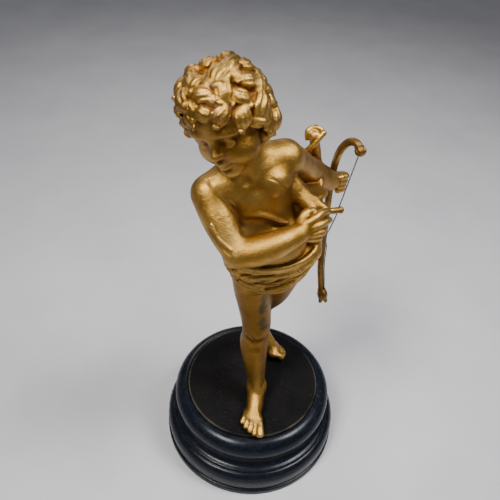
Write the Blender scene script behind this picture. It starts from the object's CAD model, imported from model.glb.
import math

import bmesh
import bpy
import numpy as np
from mathutils import Matrix, Vector


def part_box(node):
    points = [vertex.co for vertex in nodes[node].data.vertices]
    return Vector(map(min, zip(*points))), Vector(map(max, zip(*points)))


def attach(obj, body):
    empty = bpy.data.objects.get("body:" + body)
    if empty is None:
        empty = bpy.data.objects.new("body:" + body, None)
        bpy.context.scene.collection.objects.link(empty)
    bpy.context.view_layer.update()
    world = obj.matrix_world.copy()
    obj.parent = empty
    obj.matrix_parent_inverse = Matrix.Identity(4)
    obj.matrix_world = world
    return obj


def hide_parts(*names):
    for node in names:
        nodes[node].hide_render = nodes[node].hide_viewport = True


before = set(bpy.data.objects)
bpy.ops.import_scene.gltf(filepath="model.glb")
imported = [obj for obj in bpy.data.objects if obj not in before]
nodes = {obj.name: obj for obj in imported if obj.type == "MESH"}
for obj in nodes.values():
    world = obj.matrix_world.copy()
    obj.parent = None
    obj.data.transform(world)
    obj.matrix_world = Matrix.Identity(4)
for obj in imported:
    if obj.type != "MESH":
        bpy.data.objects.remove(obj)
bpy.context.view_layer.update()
body = "root"
print("frame loaded:", sorted(nodes))

# Where the figure stands: its lengths are shares of its height, from the middle of the plate's top
stance = {
    "height": 0.209,       # sole to crown in metres
    "shares": 209.0,       # so many shares make the height
    "soleGap": 0.0003,
}
share = stance["height"] / stance["shares"]
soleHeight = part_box("top_plate")[1].z + stance["soleGap"]

clayWork = {
    "voxel": 0.47,          # in shares, the fineness of the modelled surface
    "quickVoxel": 0.95,
    "far": 6.0,
    "triangles": 192000,
    "quickTriangles": 60000,
    "low": (-43.0, -45.5, -2.0),
    "high": (49.0, 60.5, 215.0),
}


def unit(v):
    v = np.asarray(v, float)
    return v / np.linalg.norm(v)


def turnMatrix(aboutZ, aboutX=0.0, aboutY=0.0):
    turn = Matrix.Rotation(math.radians(aboutZ), 3, "Z")
    turn = turn @ Matrix.Rotation(math.radians(aboutY), 3, "Y")
    turn = turn @ Matrix.Rotation(math.radians(aboutX), 3, "X")
    return np.array(turn)


def smoothPoints(points, steps):
    # Catmull-Rom curve through rows of numbers, here x, y, z and radius
    rows = np.asarray(points, float)
    rows = np.vstack([rows[0] * 2 - rows[1], rows, rows[-1] * 2 - rows[-2]])
    found = []
    for i in range(1, len(rows) - 2):
        before, here, there, after = rows[i - 1], rows[i], rows[i + 1], rows[i + 2]
        for k in range(steps):
            t = k / steps
            bend = 2 * before - 5 * here + 4 * there - after
            twist = 3 * here - before - 3 * there + after
            found.append((2 * here + (there - before) * t + bend * t ** 2 + twist * t ** 3) / 2)
    found.append(rows[-2])
    return np.array(found)


class Clay:
    # A block of distances to the modelled surface, negative inside

    def __init__(self, low, high, step):
        self.step = step
        self.low = np.array(low, float)
        self.size = np.ceil((np.array(high) - self.low) / step).astype(int) + 1
        self.field = np.full(self.size, clayWork["far"], np.float32)
        self.lines = [(self.low[i] + step * np.arange(self.size[i])).astype(np.float32) for i in range(3)]

    def window(self, low, high):
        first = np.clip(np.floor((np.asarray(low) - self.low) / self.step).astype(int), 0, self.size - 1)
        last = np.clip(np.ceil((np.asarray(high) - self.low) / self.step).astype(int) + 1, 1, self.size)
        part = tuple(slice(a, b) for a, b in zip(first, last))
        x, y, z = (self.lines[i][part[i]] for i in range(3))
        return part, x[:, None, None], y[None, :, None], z[None, None, :]

    def merge(self, part, shape, soft):
        old = self.field[part]
        mix = np.clip(0.5 + 0.5 * (old - shape) / soft, 0, 1)
        self.field[part] = old + (shape - old) * mix - soft * mix * (1 - mix)

    def carve(self, part, shape, soft):
        old = self.field[part]
        mix = np.clip(0.5 + 0.5 * (-shape - old) / soft, 0, 1)
        self.field[part] = old + (-shape - old) * mix + soft * mix * (1 - mix)

    def put(self, part, shape, soft, cut):
        if cut:
            self.carve(part, shape, soft)
        else:
            self.merge(part, shape, soft)

    def line(self, points, radius, soft=0.7, steps=4, cut=False):
        # A thin line of one thickness
        self.limb(points, [radius] * len(points), soft, steps, cut)

    def ball(self, centre, radii, turn=None, soft=2.0, cut=False):
        radii = np.asarray(radii, float)
        centre = np.asarray(centre, float)
        reach = radii.max() + soft + 1.0 if turn is not None else radii + soft + 1.0
        part, x, y, z = self.window(centre - reach, centre + reach)
        x, y, z = x - centre[0], y - centre[1], z - centre[2]
        if turn is not None:
            x, y, z = (x * turn[0][i] + y * turn[1][i] + z * turn[2][i] for i in range(3))
        near = np.sqrt((x / radii[0]) ** 2 + (y / radii[1]) ** 2 + (z / radii[2]) ** 2)
        slope = np.sqrt((x / radii[0] ** 2) ** 2 + (y / radii[1] ** 2) ** 2 + (z / radii[2] ** 2) ** 2)
        shape = near * (near - 1) / np.maximum(slope, 1e-4)
        self.put(part, shape, soft, cut)

    def limb(self, points, radii, soft=1.5, steps=5, cut=False):
        # A round limb through the points, with its own radius at each
        rows = smoothPoints(np.column_stack([np.asarray(points, float), np.asarray(radii, float)]), steps)
        margin = rows[:, 3].max() + soft + 1.0
        part, x, y, z = self.window(rows[:, :3].min(0) - margin, rows[:, :3].max(0) + margin)
        shape = np.full((x.size, y.size, z.size), clayWork["far"], np.float32)
        corner = np.array([part[i].start for i in range(3)])
        for a, b in zip(rows, rows[1:]):
            reach = max(a[3], b[3]) + soft + 1.0
            low = np.minimum(a[:3], b[:3]) - reach
            high = np.maximum(a[:3], b[:3]) + reach
            piece, px, py, pz = self.window(low, high)
            inner = tuple(slice(piece[i].start - corner[i], piece[i].stop - corner[i]) for i in range(3))
            span = b[:3] - a[:3]
            length = max(float(span @ span), 1e-6)
            dx, dy, dz = px - a[0], py - a[1], pz - a[2]
            t = np.clip((dx * span[0] + dy * span[1] + dz * span[2]) / length, 0, 1)
            dx, dy, dz = dx - t * span[0], dy - t * span[1], dz - t * span[2]
            away = np.sqrt(dx * dx + dy * dy + dz * dz) - (a[3] + t * (b[3] - a[3]))
            shape[inner] = np.minimum(shape[inner], away)
        self.put(part, shape, soft, cut)


def surfaceNet(field):
    # One point in each cell that the surface crosses, joined into quads across the crossed edges
    size = np.array(field.shape) - 1
    inside = field < 0
    count = np.zeros(size, np.uint8)
    corners = [(i, j, k) for i in (0, 1) for j in (0, 1) for k in (0, 1)]
    for i, j, k in corners:
        count += inside[i:i + size[0], j:j + size[1], k:k + size[2]]
    cells = np.argwhere((count > 0) & (count < 8))
    number = np.full(size, -1, np.int32)
    number[tuple(cells.T)] = np.arange(len(cells))
    value = {c: field[cells[:, 0] + c[0], cells[:, 1] + c[1], cells[:, 2] + c[2]] for c in corners}
    total = np.zeros((len(cells), 3))
    hits = np.zeros(len(cells))
    for start in corners:
        for axis in range(3):
            if start[axis]:
                continue
            end = tuple(1 if i == axis else start[i] for i in range(3))
            a, b = value[start], value[end]
            crossed = (a < 0) != (b < 0)
            t = np.where(crossed, a / np.where(crossed, a - b, 1.0), 0.0)
            place = np.tile(np.array(start, float), (len(cells), 1))
            place[:, axis] = t
            total += place * crossed[:, None]
            hits += crossed
    points = cells + total / hits[:, None]
    quads = []
    for axis in range(3):
        u, v = [(1, 2), (2, 0), (0, 1)][axis]
        low = [slice(1, size[i]) for i in range(3)]
        high = list(low)
        low[axis] = slice(0, size[axis])
        high[axis] = slice(1, size[axis] + 1)
        a, b = inside[tuple(low)], inside[tuple(high)]
        for sign in (True, False):
            edges = np.argwhere((a != b) & (a == sign))
            start = edges + 1
            start[:, axis] = edges[:, axis]
            ring = []
            for du, dv in ((0, 0), (-1, 0), (-1, -1), (0, -1)):
                cell = start.copy()
                cell[:, u] += du
                cell[:, v] += dv
                ring.append(number[tuple(cell.T)])
            quad = np.column_stack(ring)
            quads.append(quad if sign else quad[:, ::-1])
    quads = np.vstack(quads)
    return points, quads[(quads >= 0).all(1)]


def meshFromFaces(name, points, quads):
    mesh = bpy.data.meshes.new(name)
    mesh.vertices.add(len(points))
    mesh.vertices.foreach_set("co", np.asarray(points, np.float32).ravel())
    mesh.loops.add(quads.size)
    mesh.loops.foreach_set("vertex_index", quads.astype(np.int32).ravel())
    mesh.polygons.add(len(quads))
    mesh.polygons.foreach_set("loop_start", np.arange(0, quads.size, quads.shape[1], dtype=np.int32))
    mesh.update(calc_edges=True)
    mesh.validate()
    return mesh


def addPiece(name, mesh, materials):
    piece = bpy.data.objects.new(name, mesh)
    bpy.context.scene.collection.objects.link(piece)
    for material in materials:
        piece.data.materials.append(material)
    return piece


def evaluatedMesh(piece):
    bpy.context.view_layer.update()
    graph = bpy.context.evaluated_depsgraph_get()
    return bpy.data.meshes.new_from_object(piece.evaluated_get(graph))


def spreadOf(field, steps):
    # The field averaged over a box that reaches so many steps to each side
    found = field
    for axis in range(3):
        total = np.cumsum(found, axis=axis, dtype=np.float64)
        length = total.shape[axis]
        upper = np.take(total, np.minimum(np.arange(length) + steps, length - 1), axis=axis)
        start = np.arange(length) - steps - 1
        lower = np.take(total, np.maximum(start, 0), axis=axis)
        shape = [1, 1, 1]
        shape[axis] = length
        lower = np.where((start >= 0).reshape(shape), lower, 0.0)
        width = np.minimum(np.arange(length) + steps, length - 1) - np.maximum(start, -1)
        found = ((upper - lower) / width.reshape(shape)).astype(np.float32)
    return found


def readField(clay, field, places):
    # The field between its grid points, at places in shares
    at = (places - clay.low) / clay.step
    at = np.clip(at, 0, np.array(field.shape) - 1.001)
    whole = at.astype(int)
    part = at - whole
    found = np.zeros(len(places))
    for i in (0, 1):
        for j in (0, 1):
            for k in (0, 1):
                weight = ((part[:, 0] if i else 1 - part[:, 0]) * (part[:, 1] if j else 1 - part[:, 1])
                          * (part[:, 2] if k else 1 - part[:, 2]))
                found += weight * field[whole[:, 0] + i, whole[:, 1] + j, whole[:, 2] + k]
    return found


# The figure: the same pose and forms as the solid, with the finer carving
head = {
    "centre": np.array([-18.2, -7.6, 184.2]),
    "turn": turnMatrix(-27.0, 13.0, -19.0),
    "eyeSide": 5.9,
}


def onHead(side, front, up):
    return head["centre"] + head["turn"] @ np.array([side, -front, up])


def makeLegs(clay):
    clay.limb([(-4.6, -1.5, 97), (-4.3, -2.5, 84), (-2.2, -2.8, 68), (-0.6, -3, 55), (-0.8, -3.6, 45),
               (-1.1, -4.6, 38), (0.3, -8.2, 26), (1.7, -11.2, 17), (2.4, -13, 9)],
              [11.4, 10.0, 8.7, 8.0, 7.5, 7.9, 6.4, 5.0, 4.8], soft=2.5)
    clay.ball((-0.7, -8.6, 54.0), (4.6, 2.9, 4.6), soft=3.0)      # kneecap
    clay.limb([(-4.6, -9.9, 49.4), (-1.0, -11.4, 48.4), (2.6, -10.4, 49.4)],
              [0.3, 0.4, 0.3], soft=2.2, cut=True)
    clay.ball((-1.5, 0.8, 38.0), (6.8, 4.6, 9.5), soft=4.0)       # calf
    clay.limb([(0.6, -11.6, 40), (1.6, -13.6, 28), (2.4, -15.6, 18), (2.3, -18.0, 11.5), (2.0, -22.0, 8.4)],
              [1.0, 1.0, 1.2, 1.6, 0.8], soft=3.5)
    clay.limb([(2.4, -13, 9), (2.3, -14.8, 5.0)], [4.8, 3.6], soft=3.0, steps=1)
    clay.ball((-1.5, -12.4, 10.2), (1.3, 1.8, 2.6), soft=3.4)
    clay.ball((6.0, -12.0, 11.4), (1.3, 1.8, 2.6), soft=3.4)
    clay.limb([(2.2, -8.4, 24), (2.4, -9.2, 14), (2.5, -8.6, 6)], [2.4, 2.0, 2.4], soft=3.0)
    clay.limb([(12, 3.5, 99), (9.6, 6.4, 84), (7.2, 9.2, 71), (3.2, 12.2, 61), (0.6, 14.0, 54),
               (0.6, 17.8, 44), (1.0, 20.6, 37), (1.8, 24, 27), (2.4, 26.5, 18)],
              [11.6, 10.2, 9.2, 8.2, 7.7, 7.3, 7.3, 5.7, 4.6], soft=2.5)
    clay.ball((0.8, 23.8, 40.0), (6.4, 4.4, 8.6), soft=4.0)
    clay.limb([(1.2, 30.4, 28), (0.2, 31.2, 20), (-1.4, 30.4, 13)], [2.0, 1.8, 2.2], soft=2.5)


# Each foot: heel, ankle, ball, the side of its arch, and the toes' tips with their radii
feet = [
    {"heel": (2.6, -9.8, 4.6), "ankle": (2.4, -14.0, 9), "ball": (1.2, -29.4, 3.3), "archSide": (1, 0, 0),
     "toes": [(5.6, -39.4, 2.5), (2.4, -38.9, 2.0), (-0.3, -37.2, 1.9), (-2.8, -35.0, 1.8),
              (-4.9, -32.2, 1.8)],
     "toeRadii": [2.5, 1.8, 1.7, 1.6, 1.5]},
    {"heel": (-2.4, 27.6, 14.5), "ankle": (2.4, 26.4, 17), "ball": (12.4, 20.4, 4.2),
     "archSide": (-0.4, -0.9, 0),
     "toes": [(17.6, 15.6, 2.4), (19.2, 17.8, 1.9), (19.2, 20.0, 1.8), (18.6, 22.0, 1.7),
              (17.2, 23.8, 1.7)],
     "toeRadii": [2.25, 1.6, 1.5, 1.4, 1.35]},
]
toeGap = 2.35
upward = np.array([0, 0, 1.0])


def makeFoot(clay, foot):
    heel, ankle, tread = (np.array(foot[place]) for place in ("heel", "ankle", "ball"))
    clay.limb([heel, (heel + tread) / 2 + upward * 1.6, tread], [4.5, 4.3, 3.2], soft=2.0)
    clay.limb([ankle, ankle * 0.45 + tread * 0.55 + upward * 0.6, tread], [4.5, 3.9, 3.1], soft=2.5)
    tips = [np.array(tip) for tip in foot["toes"]]
    across = unit(tips[-1] - tips[0])
    for step in (-1, 0, 1):
        clay.ball(tread + across * step * 2.7, (3.5, 4.2, 2.9), soft=2.0)
    for number, (tip, radius) in enumerate(zip(tips, foot["toeRadii"])):
        root = tread + across * (number - 2) * toeGap + upward * 0.3
        bend = root * 0.38 + tip * 0.62 + upward * 0.7
        clay.limb([root, bend, tip], [1.9, radius * 0.86, radius], soft=0.45)
        way = unit(tip - root)
        nail = tip + way * radius * 0.45 + upward * radius * 0.72
        clay.ball(nail, (radius * 0.5, radius * 0.5, radius * 0.22), soft=0.25)
        crease = tip - way * radius * 1.5 + upward * radius * 0.9
        clay.line([crease - across * radius * 0.7, crease + across * radius * 0.7], 0.16, 0.4, 1, cut=True)
    for number in range(4):
        # Tendons on top of the foot
        aside = across * (number - 1.5)
        end = ankle * 0.35 + tread * 0.65 + upward * 3.6 + aside
        clay.limb([tread + aside * toeGap + upward * 2.0, end], [0.45, 0.25], soft=1.2, steps=1)
    arch = heel * 0.45 + tread * 0.55 + np.array(foot["archSide"]) * 1.2
    clay.ball(arch, (3.5, 5.8, 3.7), soft=2.5)


def makeTorso(clay):
    chestTurn = turnMatrix(28.0, -6.0, -8.0)
    waistTurn = turnMatrix(17.0, -4.0, -10.0)
    clay.ball((3.2, 1.5, 101), (18.8, 13.2, 14.5), turnMatrix(8.0), soft=3.0)
    for side in (-5.2, 11.8):
        clay.ball((side, 8.6 + side * 0.12, 97.5), (10.6, 9.4, 10.8), soft=1.6)
    clay.ball((1.8, -3.6, 117.0), (15.0, 12.0, 13.5), waistTurn, soft=3.0)
    clay.ball((-0.6, 1.2, 124.5), (15.6, 12.2, 14.0), waistTurn, soft=3.5)
    clay.ball((8.0, -3.6, 117.2), (12.6, 11.0, 11.6), waistTurn, soft=3.0)
    clay.ball((-5.4, 0.8, 139.0), (18.4, 13.0, 17.0), chestTurn, soft=3.0)
    clay.ball((-8.6, 0.8, 148.5), (18.4, 11.0, 11.5), chestTurn, soft=3.0)
    clay.ball((-14.5, -8.2, 148.2), (9.0, 5.6, 7.6), chestTurn, soft=2.5)
    clay.ball((1.6, -1.8, 150.0), (9.0, 6.6, 7.6), chestTurn, soft=2.5)
    clay.ball((-16.5, 7.0, 147.0), (7.5, 6.0, 9.5), chestTurn, soft=3.0)
    clay.ball((-1.5, 12.5, 149.5), (7.5, 6.0, 9.5), chestTurn, soft=3.0)
    clay.limb([(-25.8, -8, 146), (-17.5, -3.6, 152), (-10, 0.6, 155), (-2, 6, 156), (6.3, 10.5, 155.2)],
              [8.3, 8.4, 8.8, 8.6, 8.2], soft=3.0)
    clay.limb([(-10.2, 1.5, 154), (-13.4, -1.6, 163), (-15.6, -4.2, 171)], [9.2, 8.5, 8.8], soft=4.0)
    # Collar bones, the hollow between them, the spine and the crease under the ribs
    for bone in ([(-11.6, -9.0, 155.6), (-18.0, -10.2, 154.2), (-24.0, -11.4, 152.4)],
                 [(-7.0, -6.6, 156.4), (-1.0, -1.0, 158.6), (4.6, 5.2, 159.6)]):
        clay.limb(bone, [1.1, 1.2, 1.0], soft=2.4)
    clay.ball((-9.4, -11.2, 156.4), (1.4, 1.2, 1.8), soft=3.0, cut=True)
    clay.limb([(-8.4, 15.6, 152), (-4.6, 17.2, 140), (-1.0, 16.4, 128), (2.4, 16.6, 118)],
              [1.1, 1.3, 1.4, 1.2], soft=3.5, cut=True)
    clay.ball((-6.4, -7.8, 143.4), (7.5, 5.0, 6.0), turnMatrix(18.0), soft=3.0)
    clay.limb([(-9.6, -12.6, 140.0), (-3.6, -13.0, 139.8), (1.6, -10.9, 137.0), (6.0, -8.6, 133.6),
               (10.2, -7.0, 131.6)], [0.6, 0.9, 1.0, 0.9, 0.5], soft=2.0)
    clay.limb([(-9.2, -13.7, 137.0), (-3.0, -13.2, 136.6), (1.4, -10.9, 133.6), (5.7, -8.8, 130.4),
               (10.0, -7.4, 128.6)], [0.5, 0.9, 1.1, 1.0, 0.6], soft=1.6, cut=True)
    clay.limb([(-6.6, -15.4, 148), (-5.4, -15.6, 141)], [0.5, 0.4], soft=2.6, steps=1, cut=True)
    clay.ball((3.2, -8.3, 147.6), (1.0, 0.7, 1.0), soft=1.8)


def makeRightArm(clay):
    clay.limb([(-26, -8, 146), (-22.4, -14, 139.5), (-17.2, -20, 132.0), (-11.8, -24.2, 126.6)],
              [8.3, 8.0, 7.1, 6.8], soft=2.2)
    clay.limb([(-11.8, -24.2, 126.6), (-4.6, -23.8, 127.6), (5, -21, 130.2), (14.2, -16.6, 133.4)],
              [6.8, 7.2, 6.4, 4.8], soft=1.8)
    clay.ball((-12.6, -27.6, 125.4), (3.4, 3.0, 3.4), soft=3.0)         # elbow
    clay.limb([(-10.0, -21.6, 135.2), (-6.6, -19.2, 133.6), (-4.0, -16.6, 133.0)],
              [0.5, 0.6, 0.5], soft=1.6, cut=True)
    clay.ball((18.4, -13.2, 134.2), (5.2, 4.2, 5.8), turnMatrix(30.0), soft=1.8)
    clay.ball((22.6, -9.6, 134.4), (3.4, 4.2, 5.4), soft=1.2)
    fingers = [
        ([(18.6, -14.4, 138.4), (21.6, -12.4, 139.8), (24.6, -8.8, 139.9), (27.4, -4.9, 138.1)], 1.75),
        ([(19.6, -15.4, 135.6), (22.8, -14.2, 136.6), (26.2, -11.0, 136.4), (28.4, -7.4, 134.9)], 1.75),
        ([(19.4, -15.9, 132.6), (22.6, -15.4, 133.2), (25.6, -13.2, 132.6), (25.2, -9.4, 131.4)], 1.7),
        ([(18.6, -15.6, 129.8), (21.4, -15.4, 130.1), (24.2, -13.6, 129.4), (24.2, -10.4, 128.4)], 1.55),
    ]
    for route, radius in fingers:
        clay.limb(route, [radius * 1.05, radius * 1.12, radius, radius * 0.9], soft=0.4)
        nail = np.array(route[-1]) + unit(np.array(route[-1]) - np.array(route[-2])) * radius * 0.5
        clay.ball(nail + np.array([0.5, -0.6, 0.4]), (0.75, 0.75, 0.55), soft=0.25)
    clay.limb([(15.2, -12.2, 136.8), (17.2, -9.6, 139.6), (20.6, -7.0, 139.2)], [2.6, 2.1, 1.8], soft=1.4)


def makeLeftArm(clay):
    clay.limb([(6.3, 10.5, 155.2), (11.8, 19.6, 147.2), (19.2, 30.6, 135.6)], [8.2, 7.9, 7.2], soft=2.2)
    clay.limb([(19.2, 30.6, 135.6), (25.6, 36.8, 129.4), (33.6, 43.2, 122.4)], [7.2, 6.9, 5.5], soft=1.8)
    clay.ball((39.0, 46.6, 119.8), (4.2, 4.6, 5.4), soft=1.6)
    finger = np.array([(39.6, 43.4, 124.4), (42.6, 46.6, 123.4), (41.6, 51.0, 121.6), (37.6, 52.6, 120.8)])
    for number in range(4):
        clay.limb(finger - np.array([0.35, 0.35, 2.6]) * number, [1.75, 1.8, 1.65, 1.4], soft=0.5)
    clay.limb([(35.0, 46.6, 124.4), (34.2, 51.0, 123.0), (36.4, 54.2, 120.8)], [2.2, 2.0, 1.7], soft=0.8)
    clay.limb([(31.6, 38.2, 128.2), (35.2, 40.2, 127.0), (37.4, 41.4, 122.4)],
              [0.25, 0.3, 0.25], soft=0.9, cut=True)


cloth = {
    "centre": (1.9, 1.4),           # middle of the cloth at its upper edge
    "drift": 4.6,                   # how far the hem lies to the figure's left of the upper edge
    "half": (24.2, 16.4),           # half widths at the upper edge
    "narrowing": (2.9, 1.6),
    "wall": 2.4,
    # Folds as (degrees from the front, part of the way down), each with its thickness
    "rolls": [([(96, 0.03), (60, 0.02), (20, 0.03), (-30, 0.06), (-70, 0.05), (-96, 0.02)], 1.15),
              ([(92, 0.24), (58, 0.17), (18, 0.13), (-24, 0.17), (-60, 0.16), (-88, 0.10)], 1.0),
              ([(90, 0.46), (62, 0.38), (34, 0.32), (6, 0.30), (-20, 0.36)], 0.85),
              ([(88, 0.68), (66, 0.60), (44, 0.50), (24, 0.42)], 0.75),
              ([(82, 0.86), (60, 0.84), (42, 0.74), (26, 0.64)], 0.7)],
    "swags": [([(-84, 0.16), (-60, 0.30), (-36, 0.46), (-12, 0.58), (8, 0.62)], 0.95),
              ([(-86, 0.28), (-62, 0.46), (-38, 0.64), (-12, 0.78), (14, 0.80), (34, 0.70)], 1.0),
              ([(-88, 0.42), (-64, 0.62), (-40, 0.80), (-12, 0.91), (16, 0.90), (36, 0.82)], 0.95),
              ([(-88, 0.62), (-68, 0.76), (-46, 0.88), (-30, 0.92)], 0.8),
              ([(-60, 0.20), (-42, 0.32), (-22, 0.44), (-4, 0.46)], 0.7)],
    "back": [([(100, 0.18), (135, 0.26), (180, 0.24), (225, 0.16), (262, 0.12)], 0.9),
             ([(100, 0.32), (135, 0.44), (180, 0.46), (225, 0.36), (262, 0.26)], 1.1),
             ([(100, 0.46), (135, 0.60), (180, 0.64), (225, 0.56), (262, 0.38)], 0.9),
             ([(100, 0.60), (140, 0.76), (185, 0.80), (230, 0.70), (264, 0.50)], 1.0),
             ([(104, 0.80), (150, 0.90), (200, 0.92), (250, 0.80)], 0.8)],
    "crumples": 118,                # small folds all round, spread by the three numbers below
    "scatter": (0.618, 0.414, 0.732),
}


def clothEdges(angle):
    back = np.maximum(-np.cos(angle), 0)
    upper = 113.8 + 2.2 * np.sin(angle) - 5.0 * np.cos(angle) - 3.0 * back
    lower = 94.6 + 4.2 * np.sin(angle) - 4.0 * np.cos(angle) - 8.0 * back
    lower = lower + 11.5 * np.exp(-((angle - 1.12) / 0.6) ** 2)
    return upper, lower


def clothSizes(angle, down, belly):
    back = np.maximum(-np.cos(angle), 0)
    relief = 0.3 * np.sin(2 * np.pi * (2.2 * down + 0.5 * np.cos(angle))) * belly + 1.1 * belly
    wide = cloth["half"][0] - cloth["narrowing"][0] * down + relief
    deep = cloth["half"][1] - cloth["narrowing"][1] * down + relief + back * (2.4 * belly + 1.0 * down)
    return cloth["centre"][0] + cloth["drift"] * down, wide, deep


def makeCloth(clay):
    part, x, y, z = clay.window((-29, -24, 82), (33, 26, 122))
    middleX, middleY = cloth["centre"]
    angle = np.arctan2((x - middleX - 2.0) / cloth["half"][0], -(y - middleY) / cloth["half"][1])
    upper, lower = clothEdges(angle)
    down = np.clip((upper - z) / (upper - lower), 0, 1)
    centre, wide, deep = clothSizes(angle, down, np.sin(np.pi * down))
    side = (np.sqrt(((x - centre) / wide) ** 2 + ((y - middleY) / deep) ** 2) - 1) * np.minimum(wide, deep)
    shape = np.maximum(side, np.maximum(z - upper, lower - z))
    hollow = np.maximum(side + cloth["wall"], z - lower - 4.0)
    clay.merge(part, np.maximum(shape, -hollow), 1.2)


def clothPoint(degrees, down):
    angle = math.radians(degrees if degrees <= 180 else degrees - 360)
    upper, lower = clothEdges(angle)
    centre, wide, deep = clothSizes(angle, down, math.sin(math.pi * min(max(down, 0.0), 1.0)))
    return (centre + wide * math.sin(angle), cloth["centre"][1] - deep * math.cos(angle),
            upper + (lower - upper) * down)


def makeClothFolds(clay):
    hem = [clothPoint(10 * k, 0.975) for k in range(37)]
    clay.limb(hem, [0.85 + 0.2 * math.sin(1.9 * k) for k in range(36)] + [0.85], soft=0.6, steps=2)
    rim = [clothPoint(10 * k, 0.03) for k in range(37)]
    clay.limb(rim, [1.0 + 0.15 * math.sin(1.3 * k) for k in range(36)] + [1.0], soft=0.8, steps=2)
    for family in ("back", "swags", "rolls"):
        for route, thick in cloth[family]:
            rows = smoothPoints([(*step, 0.0) for step in route], 3)
            points = [clothPoint(row[0], row[1]) for row in rows]
            last = len(rows) - 1
            swells = [0.35 + 0.65 * math.sin(math.pi * (0.08 + 0.84 * k / last)) for k in range(last + 1)]
            clay.limb(points, [thick * swell for swell in swells], soft=0.9, steps=2)
    roundStep, downStep, reachStep = cloth["scatter"]
    for k in range(cloth["crumples"]):
        middle = 360 * (roundStep * k % 1) - 180
        down = 0.08 + 0.84 * (downStep * k + 0.3) % 0.84
        reach = 7 + 9 * (reachStep * k % 1)
        tilt = 0.05 + 0.12 * math.sin(math.radians(-middle)) + 0.05 * math.sin(2.7 * k)
        route = [clothPoint(middle + reach * t, down - tilt * t + 0.03 * (1 - t * t))
                 for t in (-1.0, -0.3, 0.4, 1.0)]
        if k % 3:
            clay.limb(route, [0.3, 0.75, 0.7, 0.3], soft=0.5, steps=3)
        else:
            clay.limb(route, [0.2, 0.5, 0.5, 0.2], soft=0.5, steps=3, cut=True)


def makeScarf(clay):
    # Up from the left hip, over the left forearm and out behind it
    clay.limb([(17, 12, 107), (19.4, 15.5, 116), (21.4, 21, 125), (23.4, 29.5, 129.0), (24.4, 38.0, 129.0),
               (23.8, 41.4, 136.0), (22.8, 39.6, 143), (22.0, 37.6, 148.6), (21.4, 36.6, 152.4)],
              [5.2, 4.8, 5.0, 5.0, 4.4, 3.5, 3.1, 2.6, 3.0], soft=1.6)
    clay.limb([(25.6, 36.2, 154.4), (22.4, 34.0, 150.6), (19.0, 34.2, 145.8), (15.4, 35.2, 141.2)],
              [1.5, 1.35, 1.6, 1.2], soft=0.4)
    clay.limb([(24.6, 38.0, 155.2), (21.0, 38.6, 156.0), (17.8, 37.6, 154.2), (17.6, 36.4, 150.4)],
              [1.2, 1.3, 1.3, 0.9], soft=0.5)
    clay.ball((20.4, 37.8, 152.4), (3.4, 2.0, 3.4), turnMatrix(20.0), soft=0.8)
    # The sheet between the forearm and the right hand, and its crumpled folds
    sheetTurn = turnMatrix(0.0, -21.0)
    clay.ball((21.4, 14.5, 134.6), (7.6, 12.5, 2.3), sheetTurn, soft=1.6)
    for shift in (-5.2, -2.2, 1.0, 4.2):
        clay.limb([(20.6 + shift, 25.0, 130.6), (21.6 + shift, 16.0, 134.9 - 0.1 * shift),
                   (22.4 + shift * 0.8, 7.0, 138.0 - 0.35 * shift)], [1.5, 1.15, 0.9], soft=0.6)
    for side, height in ((15.6, 131.4), (18.8, 129.4), (22.2, 130.4), (25.6, 129.8)):
        clay.limb([(side, 22.5, height - 7), (side + 0.6, 23.4, height), (side + 0.9, 27.5, height + 2.6)],
                  [1.2, 1.8, 1.4], soft=0.6)
    for shift in (-2.4, 0.4, 3.0):
        clay.limb([(17.5 + shift, 9.5 + shift * 0.6, 106), (20 + shift, 12.5 + shift * 0.5, 116),
                   (22 + shift, 18.5, 124.5 + shift * 0.4), (24 + shift * 0.6, 28, 127.4 + shift)],
                  [0.8, 1.2, 1.3, 0.8], soft=0.6)
    clay.limb([(9.6, 6.4, 147.2), (14.8, 5.2, 142.4), (20.6, 3.4, 138.2), (27.6, 0.4, 134.4)],
              [2.8, 2.4, 2.2, 1.6], soft=1.5)
    clay.limb([(12.4, 8.4, 144.8), (18.0, 8.0, 139.6), (23.4, 6.0, 136.0), (27.6, 0.4, 134.4)],
              [2.0, 1.9, 1.7, 1.4], soft=0.8)
    # Behind the right hand down to the waist
    clay.limb([(12.0, 5.6, 143.0), (13.0, 5.8, 132.0), (14.0, 4.8, 122.0), (15.6, 4.0, 112.0)],
              [3.0, 3.6, 3.8, 3.6], soft=1.8)
    clay.limb([(19.0, 5.0, 136.0), (19.4, 6.6, 126.0), (19.6, 8.0, 113.0)], [3.0, 3.6, 4.0], soft=1.8)
    clay.limb([(23.5, 0.5, 131.0), (24.0, 1.0, 122.0), (23.8, 1.8, 113.0), (22.6, 2.5, 106.5)],
              [3.6, 3.9, 3.9, 3.4], soft=2.0)
    for turn in range(7):
        # Folds down the fall, from its front round to its outer side
        around = math.radians(-60 + 24 * turn)
        aside = np.array([math.sin(around), -math.cos(around), 0.0])
        foot = np.array(clothPoint(34 + 8 * turn, 0.35)) * 0.6 + np.array((22.6, 2.5, 106.5)) * 0.4
        clay.limb([np.array((22.6, 0.2, 130.0)) + aside * 3.0, np.array((23.8, 1.0, 122.0)) + aside * 3.6,
                   np.array((23.2, 1.6, 114.0)) + aside * 3.9, foot + aside * 2.4],
                  [0.5, 0.75, 0.85, 0.6], soft=0.7)
    # The sheet closes down from the strip to the hand
    clay.limb([(10.5, 4.6, 142.5), (15.5, 2.2, 138.8), (20.5, -0.6, 135.6)], [2.6, 3.0, 2.6], soft=2.5)


def acrossFace(half):
    # A line over the face: its points from one side to the middle, then the same ones mirrored
    other = [(-side, front, up) for side, front, up in half[-2::-1]]
    return [onHead(*place) for place in [*half, *other]]


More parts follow.
